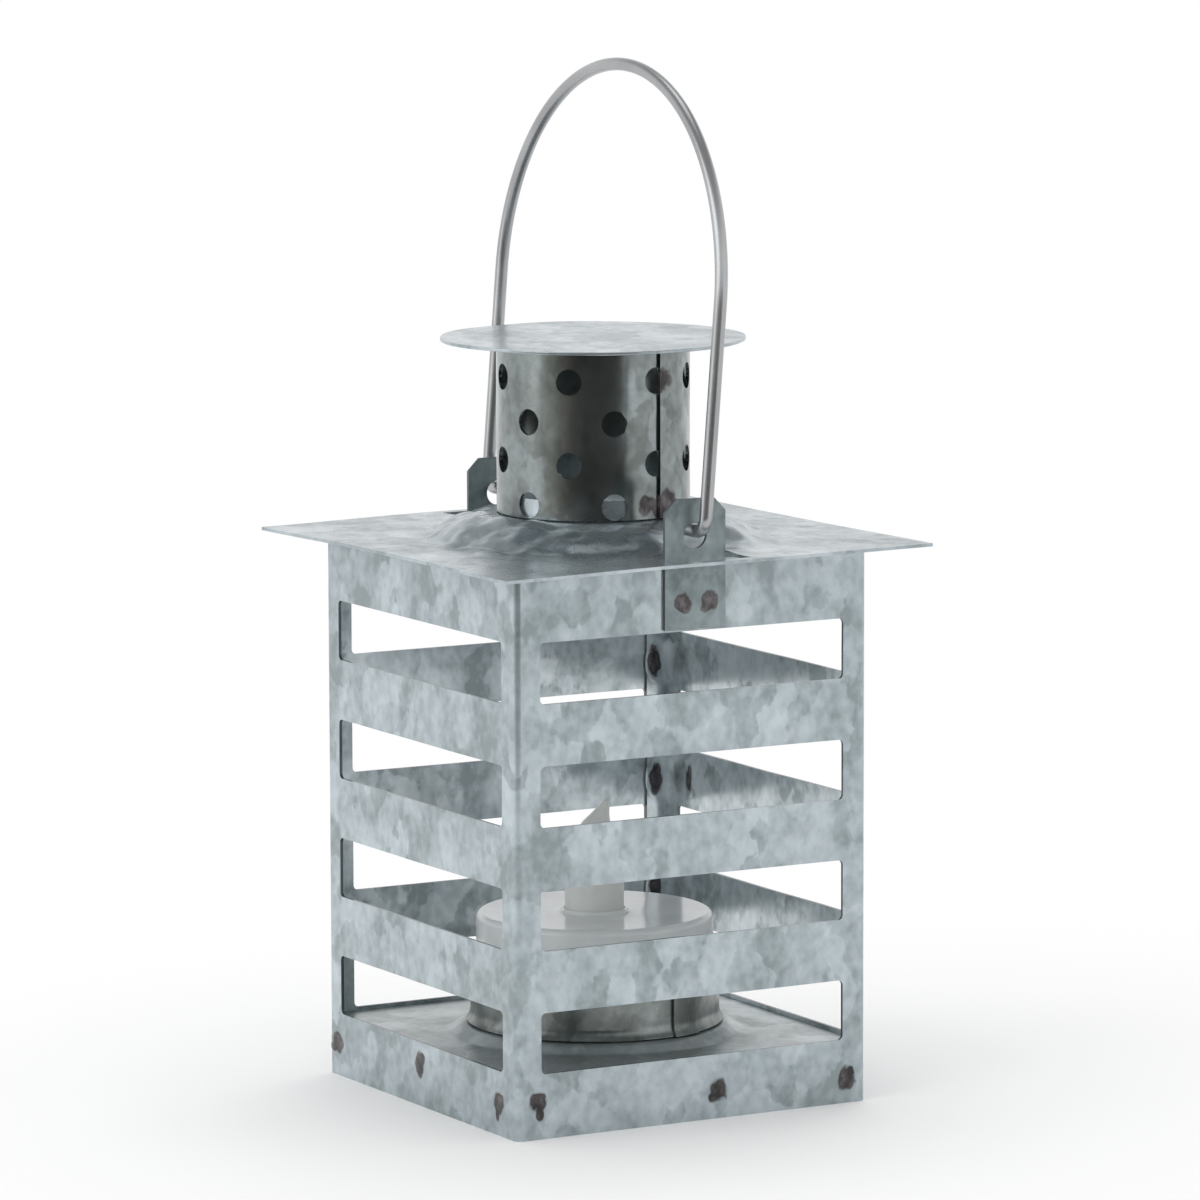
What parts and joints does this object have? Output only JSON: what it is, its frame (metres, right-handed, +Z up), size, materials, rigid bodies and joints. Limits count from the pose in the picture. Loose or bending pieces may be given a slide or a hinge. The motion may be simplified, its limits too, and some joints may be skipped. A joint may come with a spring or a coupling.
{
  "type": "candle lantern",
  "caption": "Small square galvanised sheet lantern with slotted walls, a lift-off roof with a perforated chimney, a swinging wire bail and an electric tea light inside.",
  "frame": {"origin": "centre of the body's bottom rim, on the surface the lantern stands on", "axes": "+Z up, +X along the bail's pivot towards the right ear, +Y towards the back"},
  "size_m": [0.0782, 0.0782, 0.1615],
  "materials": {
    "galvanised_sheet": "hot-dip zinc spangle, satin, mottled",
    "bail_wire": "bright drawn galvanised wire",
    "candle_plastic": "glossy white moulded plastic",
    "flame_plastic": "frosted translucent plastic",
    "lamp_epoxy": "clear amber epoxy",
    "contact_metal": "nickel-plated strip",
    "cell_steel": "polished steel can",
    "switch_plastic": "black moulded plastic"
  },
  "bodies": {
    "root": {"body_shell": "galvanised_sheet", "base_tray": "galvanised_sheet", "candle_cup": "galvanised_sheet", "ear_right": "galvanised_sheet", "ear_left": "galvanised_sheet"},
    "roof": {"roof_plate": "galvanised_sheet", "chimney": "galvanised_sheet", "chimney_cap": "galvanised_sheet"},
    "bail": {"bail": "bail_wire"},
    "candle": {"candle_shell": "candle_plastic", "candle_base": "candle_plastic", "flame_lens": "flame_plastic", "led_bulb": "lamp_epoxy", "led_leads": "contact_metal", "positive_contact": "contact_metal", "negative_contact": "contact_metal", "coin_cell": "cell_steel"},
    "door": {"battery_door": "candle_plastic"},
    "switch": {"switch_slider": "switch_plastic", "switch_wiper": "contact_metal"}
  },
  "joints": [
    {"name": "roof_lift", "type": "slide", "parent": "root", "child": "roof", "axis": [0, 0, 1], "range_m": [0, 0.0305]},
    {"name": "bail_swing", "type": "hinge", "parent": "root", "child": "bail", "pos_m": [0, 0, 0.0915], "axis": [1, 0, 0], "range_deg": [-89.6, 98.6]},
    {"name": "candle_lift", "type": "slide", "parent": "root", "child": "candle", "axis": [0, 0, 1], "range_m": [0, 0.055]},
    {"name": "door_twist", "type": "hinge", "parent": "candle", "child": "door", "pos_m": [0, 0, 0.0113], "axis": [0, 0, 1], "range_deg": [0, 35]},
    {"name": "switch_slide", "type": "slide", "parent": "candle", "child": "switch", "axis": [0, 1, 0], "range_m": [0, 0.002]}
  ]
}
